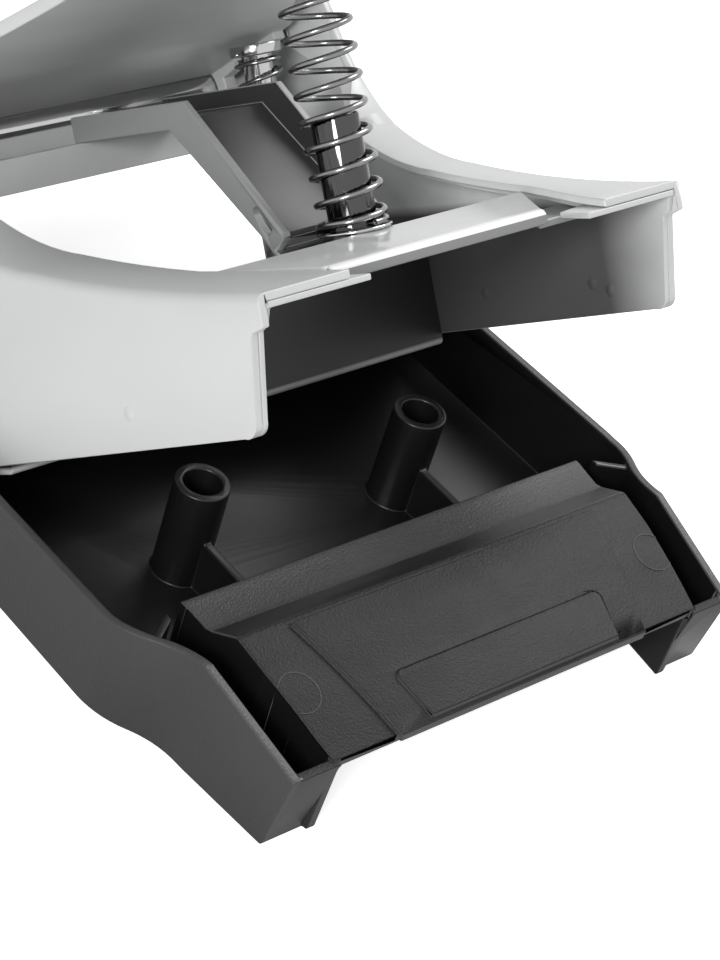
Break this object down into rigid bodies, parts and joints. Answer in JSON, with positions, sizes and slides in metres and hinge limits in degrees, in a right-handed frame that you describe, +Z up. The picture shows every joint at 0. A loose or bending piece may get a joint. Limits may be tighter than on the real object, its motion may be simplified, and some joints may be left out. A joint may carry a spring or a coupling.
{
  "type": "lever hole punch",
  "caption": "Desk hole punch with a sheet-steel body swung up on its plastic chip tray, lever arm, spring-loaded punches and return spring.",
  "frame": {"origin": "middle of the tray's footprint, on the surface that it stands on", "axes": "+X across, from the left side to the right; +Y towards the side where paper goes in; +Z up"},
  "size_m": [0.1198, 0.1671, 0.1648],
  "materials": {
    "black_plastic": "moulded, fine grain",
    "grey_enamel": "light-grey enamel",
    "dark_enamel": "dark enamel",
    "plated_steel": "zinc-plated",
    "ground_steel": "ground and polished",
    "spring_steel": "drawn wire",
    "white_nylon": "moulded",
    "rubber": "soft, matt"
  },
  "bodies": {
    "tray": {"chip_tray": "black_plastic", "hinge_pin_left": "ground_steel", "hinge_pin_right": "ground_steel", "hinge_washer_left": "white_nylon", "hinge_washer_right": "white_nylon", "rubber_feet": "rubber"},
    "punch_body": {"outer_shell": "grey_enamel", "inner_frame": "grey_enamel", "top_plate": "grey_enamel", "cross_wall": "dark_enamel", "die_plate": "plated_steel", "paper_stop": "plated_steel", "head_bridge": "grey_enamel", "punch_guide_left": "plated_steel", "punch_guide_right": "plated_steel", "punch_spring_left": "spring_steel", "punch_spring_right": "spring_steel", "rear_stay": "grey_enamel", "guide_post": "ground_steel", "spring_bush": "ground_steel", "return_spring": "spring_steel", "lever_axle": "ground_steel", "axle_cap_left": "ground_steel", "axle_cap_right": "ground_steel", "wall_rivets": "plated_steel"},
    "lever": {"lever_arm": "grey_enamel", "lever_grip": "black_plastic", "spring_cup": "ground_steel"},
    "punch_left": {"punch_pin_left": "ground_steel"},
    "punch_right": {"punch_pin_right": "ground_steel"}
  },
  "joints": [
    {"name": "tray_hinge", "type": "hinge", "parent": "tray", "child": "punch_body", "pos_m": [0, 0.03993, 0.01025], "axis": [1, 0, 0], "range_deg": [0, 37.8]},
    {"name": "lever_pivot", "type": "hinge", "parent": "punch_body", "child": "lever", "pos_m": [0, 0.09568, 0.0249], "axis": [1, 0, 0], "range_deg": [0, 16], "stiffness_Nm_per_rad": 1.6, "springref_deg": -20.05, "deforming": ["return_spring"]},
    {"name": "punch_slide_left", "type": "slide", "parent": "punch_body", "child": "punch_left", "axis": [0, -0.6129, -0.7902], "range_m": [0, 0.0058], "deforming": ["punch_spring_left"]},
    {"name": "punch_slide_right", "type": "slide", "parent": "punch_body", "child": "punch_right", "axis": [0, -0.6129, -0.7902], "range_m": [0, 0.0058], "deforming": ["punch_spring_right"]}
  ],
  "couplings": [
    {"joint": "punch_slide_left", "follows": "lever_pivot", "m_per_rad": 0.02077},
    {"joint": "punch_slide_right", "follows": "lever_pivot", "m_per_rad": 0.02077}
  ]
}
